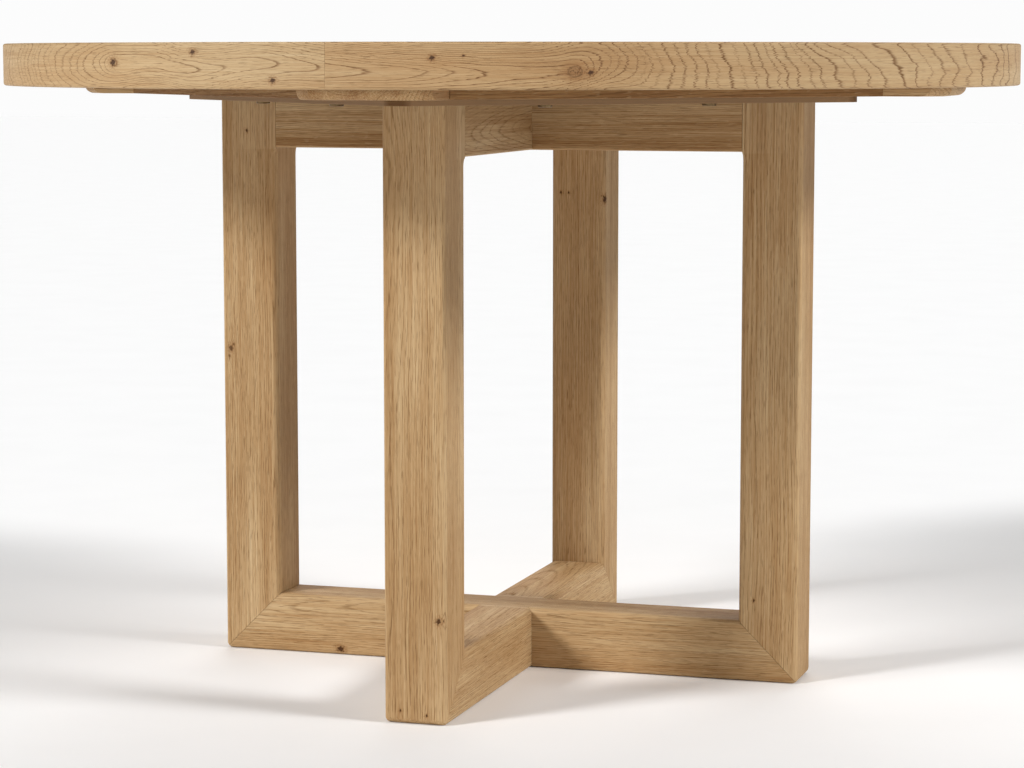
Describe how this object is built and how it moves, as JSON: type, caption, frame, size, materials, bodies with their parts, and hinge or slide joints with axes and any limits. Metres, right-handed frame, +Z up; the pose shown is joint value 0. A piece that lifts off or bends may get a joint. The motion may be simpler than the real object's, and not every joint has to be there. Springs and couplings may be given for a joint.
{
  "type": "round pedestal table",
  "caption": "Round oak dining table: a thick banded top on battens and a mounting board, carried by two crossed rectangular leg frames with mitred feet.",
  "frame": {"origin": "centre of the footprint on the floor, under the centre of the round top", "axes": "+Z up; X along frame A and the top boards; Y along frame B; front is -Y"},
  "size_m": [1.2498, 1.2498, 0.78],
  "materials": {
    "oak_top": "satin oiled",
    "oak_band": "satin oiled",
    "oak_frame": "satin oiled",
    "oak_batten": "planed, unpolished",
    "packer_wood": "sawn, unpolished",
    "board_wood": "matt plywood",
    "beech": "planed",
    "zinc_steel": "zinc plated",
    "brass": "turned"
  },
  "bodies": {
    "root": {"board_bolt_1": "zinc_steel", "board_bolt_2": "zinc_steel", "board_bolt_3": "zinc_steel", "board_bolt_4": "zinc_steel", "board_bolt_5": "zinc_steel", "board_bolt_6": "zinc_steel", "board_bolt_7": "zinc_steel", "board_bolt_8": "zinc_steel", "corner_batten_1": "oak_batten", "corner_batten_2": "oak_batten", "corner_batten_3": "oak_batten", "corner_batten_4": "oak_batten", "cross_batten_a": "oak_batten", "cross_batten_b": "oak_batten", "edge_band_1": "oak_band", "edge_band_2": "oak_band", "edge_band_3": "oak_band", "edge_packer_1": "packer_wood", "edge_packer_2": "packer_wood", "edge_packer_3": "packer_wood", "edge_packer_4": "packer_wood", "edge_packer_5": "packer_wood", "edge_packer_6": "packer_wood", "edge_packer_7": "packer_wood", "edge_packer_8": "packer_wood", "foot_rail_a": "oak_frame", "foot_rail_b": "oak_frame", "leg_back": "oak_frame", "leg_front": "oak_frame", "leg_left": "oak_frame", "leg_right": "oak_frame", "leg_screw_back": "zinc_steel", "leg_screw_front": "zinc_steel", "leg_screw_left": "zinc_steel", "leg_screw_right": "zinc_steel", "mitre_tenon_back": "beech", "mitre_tenon_front": "beech", "mitre_tenon_left": "beech", "mitre_tenon_right": "beech", "mounting_board": "board_wood", "thread_insert_1": "brass", "thread_insert_2": "brass", "thread_insert_3": "brass", "thread_insert_4": "brass", "thread_insert_5": "brass", "thread_insert_6": "brass", "thread_insert_7": "brass", "thread_insert_8": "brass", "top_board_1": "oak_top", "top_board_2": "oak_top", "top_board_3": "oak_top", "top_board_4": "oak_top", "top_board_5": "oak_top", "top_board_6": "oak_top", "top_board_7": "oak_top", "top_board_8": "oak_top", "top_board_9": "oak_top", "top_rail_a": "oak_frame", "top_rail_b": "oak_frame"}
  },
  "joints": []
}
